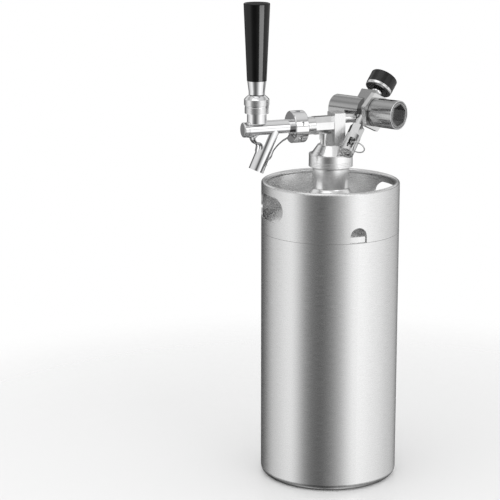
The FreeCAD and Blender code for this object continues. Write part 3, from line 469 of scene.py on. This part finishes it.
# Gauge dial: ticks round three quarters of a turn and plain numbers
dialLook = {"face": 36.2 * mm, "aside": 2.0 * mm, "sweep": 270.0, "ticks": 30, "longEvery": 5,
            "outer": 11.2 * mm, "short": 1.1 * mm, "long": 2.2 * mm, "width": 0.22 * mm, "thick": 0.06 * mm,
            "numbers": (0, 15, 30, 45, 60), "numberAt": 7.4 * mm, "numberSize": 2.5 * mm}
dialAcross = gaugeWay.cross(barrelWay)
dialCentre = regulator + barrelWay * dialLook["aside"] + gaugeWay * dialLook["face"]


def dialWay(angle):
    return barrelWay * math.cos(math.radians(angle)) - dialAcross * math.sin(math.radians(angle))


def makeTicks(look):
    form = bmesh.new()
    for index in range(look["ticks"] + 1):
        way = dialWay(index * look["sweep"] / look["ticks"])
        length = look["long"] if index % look["longEvery"] == 0 else look["short"]
        middle = dialCentre + way * (look["outer"] - length / 2)
        place = frameAt(middle, gaugeWay, way) @ Matrix.Diagonal((length, look["width"], look["thick"], 1))
        bmesh.ops.create_cube(form, size=1.0, matrix=place)
    addPiece("dial_ticks", form, "gaugeBlack", "head")


def makeNumbers(look):
    right = dialWay(look["sweep"] / 2).cross(gaugeWay)
    form = bmesh.new()
    for index, value in enumerate(look["numbers"]):
        way = dialWay(index * look["sweep"] / (len(look["numbers"]) - 1))
        letters = bpy.data.curves.new("number", "FONT")
        letters.body = str(value)
        letters.size = look["numberSize"]
        letters.extrude = look["thick"] / 2
        letters.align_x = "CENTER"
        letters.align_y = "CENTER"
        addCurve(form, letters, frameAt(dialCentre + way * look["numberAt"], gaugeWay, right))
    addPiece("dial_numbers", form, "gaugeBlack", "head")


makeTicks(dialLook)
makeNumbers(dialLook)
print("extra geometry added")


# Camera, floor and studio
cameraView = {"azimuth": 66.0, "distance": 1.8055, "height": 0.6569, "down": 13.41, "aside": 2.49,
              "lens": 135.8, "sensor": 36.0, "far": 50.0}


def placeCamera(view):
    angle = math.radians(view["azimuth"])
    camera = bpy.data.objects.new("camera", bpy.data.cameras.new("camera"))
    camera.data.lens = view["lens"]
    camera.data.sensor_width = view["sensor"]
    camera.data.clip_end = view["far"]
    camera.location = (math.sin(angle) * view["distance"], -math.cos(angle) * view["distance"],
                       view["height"])
    camera.rotation_euler = (math.radians(90 - view["down"]), 0, angle + math.radians(view["aside"]))
    scene.collection.objects.link(camera)
    scene.camera = camera


placeCamera(cameraView)

floorLook = {"radius": 1.4, "fadeStart": 0.22, "fadeEnd": 0.62, "sides": 96, "tone": 0.95, "rough": 0.25}


def makeFloor(look):
    # A pale disc that fades out into the white background; mirror rays pass it
    form = bmesh.new()
    bmesh.ops.create_circle(form, cap_ends=True, segments=look["sides"], radius=look["radius"])
    mesh = bpy.data.meshes.new("floor")
    form.to_mesh(mesh)
    form.free()
    floor = bpy.data.objects.new("floor", mesh)
    scene.collection.objects.link(floor)
    material, tree, shader = startMaterial("floorWhite")
    shader.inputs["Base Color"].default_value = (*grey(look["tone"]), 1)
    shader.inputs["Roughness"].default_value = look["rough"]
    coords = tree.nodes.new("ShaderNodeTexCoord")
    reach = tree.nodes.new("ShaderNodeVectorMath")
    reach.operation = "LENGTH"
    tree.links.new(coords.outputs["Object"], reach.inputs[0])
    fade = mapRange(tree, reach.outputs["Value"], start=look["fadeStart"], end=look["fadeEnd"])
    fade.interpolation_type = "SMOOTHSTEP"
    path = tree.nodes.new("ShaderNodeLightPath")
    clear = tree.nodes.new("ShaderNodeBsdfTransparent")
    mix = tree.nodes.new("ShaderNodeMixShader")
    share = mathNode(tree, "MAXIMUM", fade.outputs[0], path.outputs["Is Glossy Ray"])
    for source, socket in zip((share, shader.outputs[0], clear.outputs[0]), mix.inputs):
        tree.links.new(source, socket)
    tree.links.new(mix.outputs[0], tree.nodes["Material Output"].inputs["Surface"])
    mesh.materials.append(material)


makeFloor(floorLook)

# Studio walls: brightness by heading from the camera's side in degrees, and by height
studioLook = {
    "bands": [(-180, 0.14), (-152, 0.08), (-131, 0.26), (-112, 0.66), (-93, 0.86), (-79, 1.0), (-66, 1.15),
              (-54, 0.84), (-43, 0.4), (-30, 0.19), (-12, 0.12), (6, 0.3), (21, 0.62), (32, 1.0), (46, 1.35),
              (62, 1.25), (79, 1.1), (94, 1.0), (112, 0.8), (128, 0.7), (146, 0.5), (164, 0.1), (180, 0.14)],
    "rise": [(-1.0, 0.6), (-0.72, 0.2), (-0.5, 0.34), (-0.42, 1.0), (0.06, 1.0), (0.13, 0.3), (0.2, 0.3),
             (0.3, 0.9), (0.55, 0.78), (0.7, 0.42), (0.82, 0.75), (1.0, 0.85)],
    "overheadStart": 0.1, "overheadEnd": 0.4,
}
white = (1.0, 1.0, 1.0, 1)


def rampOf(tree, source, stops):
    # Brightness stops over their own span, for a source that runs from 0 to 1
    node = tree.nodes.new("ShaderNodeValToRGB")
    marks = node.color_ramp.elements
    marks.remove(marks[-1])
    low, high = stops[0][0], stops[-1][0]
    for index, (spot, level) in enumerate(stops):
        share = (spot - low) / (high - low)
        mark = marks[0] if index == 0 else marks.new(share)
        mark.position = share
        mark.color = (*grey(level), 1)
    tree.links.new(source, node.inputs[0])
    return node.outputs[0]


def makeWorld(look, azimuth):
    # White to the camera and to matt surfaces, and the studio's walls to metal
    world = bpy.data.worlds.new("studio")
    scene.world = world
    world.use_nodes = True
    tree = world.node_tree
    coords = tree.nodes.new("ShaderNodeTexCoord")
    turn = tree.nodes.new("ShaderNodeVectorRotate")
    turn.rotation_type = "Z_AXIS"
    turn.inputs["Angle"].default_value = -math.radians(azimuth)
    tree.links.new(coords.outputs["Generated"], turn.inputs["Vector"])
    split = tree.nodes.new("ShaderNodeSeparateXYZ")
    tree.links.new(turn.outputs[0], split.inputs[0])
    x, y, z = split.outputs
    heading = mathNode(tree, "ARCTAN2", x, mathNode(tree, "MULTIPLY", y, -1.0))
    lap = mathNode(tree, "ADD", mathNode(tree, "MULTIPLY", heading, 0.5 / math.pi), 0.5)
    height = mathNode(tree, "ADD", mathNode(tree, "MULTIPLY", z, 0.5), 0.5)
    walls = rampOf(tree, lap, look["bands"])
    shade = rampOf(tree, height, look["rise"])
    overhead = mapRange(tree, z, start=look["overheadStart"], end=look["overheadEnd"]).outputs[0]
    studio = colourMix(tree, "MULTIPLY", 1.0, colourMix(tree, "MIX", overhead, walls, white), shade)
    path = tree.nodes.new("ShaderNodeLightPath")
    plainRay = mathNode(tree, "MAXIMUM", path.outputs["Is Camera Ray"], path.outputs["Is Diffuse Ray"])
    backdrop = colourMix(tree, "MIX", plainRay, studio, white)
    tree.links.new(backdrop, tree.nodes["Background"].inputs["Color"])


makeWorld(studioLook, cameraView["azimuth"])

# Soft lamps; the last one lights the black handle alone
softboxes = {
    "topBox": {"at": (0.6, -0.9, 2.2), "wide": 1.6, "tall": 1.6, "power": 5.0, "aim": (0, 0, 0.25)},
    "sideBox": {"at": (2.2, 0.6, 1.3), "wide": 1.2, "tall": 1.2, "power": 4.0, "aim": (0, 0, 0.25)},
    "handleBox": {"at": (0.457, 0.126, 0.32), "wide": 0.4, "tall": 0.13, "power": 1.3,
                  "aim": (0, layout["leverY"], 0.435), "only": "handle_grip"},
}
for name, box in softboxes.items():
    lamp = bpy.data.lights.new(name, "AREA")
    lamp.shape = "RECTANGLE"
    lamp.size = box["wide"]
    lamp.size_y = box["tall"]
    lamp.energy = box["power"]
    item = bpy.data.objects.new(name, lamp)
    item.location = box["at"]
    item.rotation_euler = (Vector(box["aim"]) - Vector(box["at"])).to_track_quat("-Z", "Y").to_euler()
    item.visible_camera = False
    if "only" in box:
        receivers = bpy.data.collections.new(name + "Receivers")
        receivers.objects.link(nodes[box["only"]])
        item.light_linking.receiver_collection = receivers
    scene.collection.objects.link(item)
print("camera, floor and studio placed")
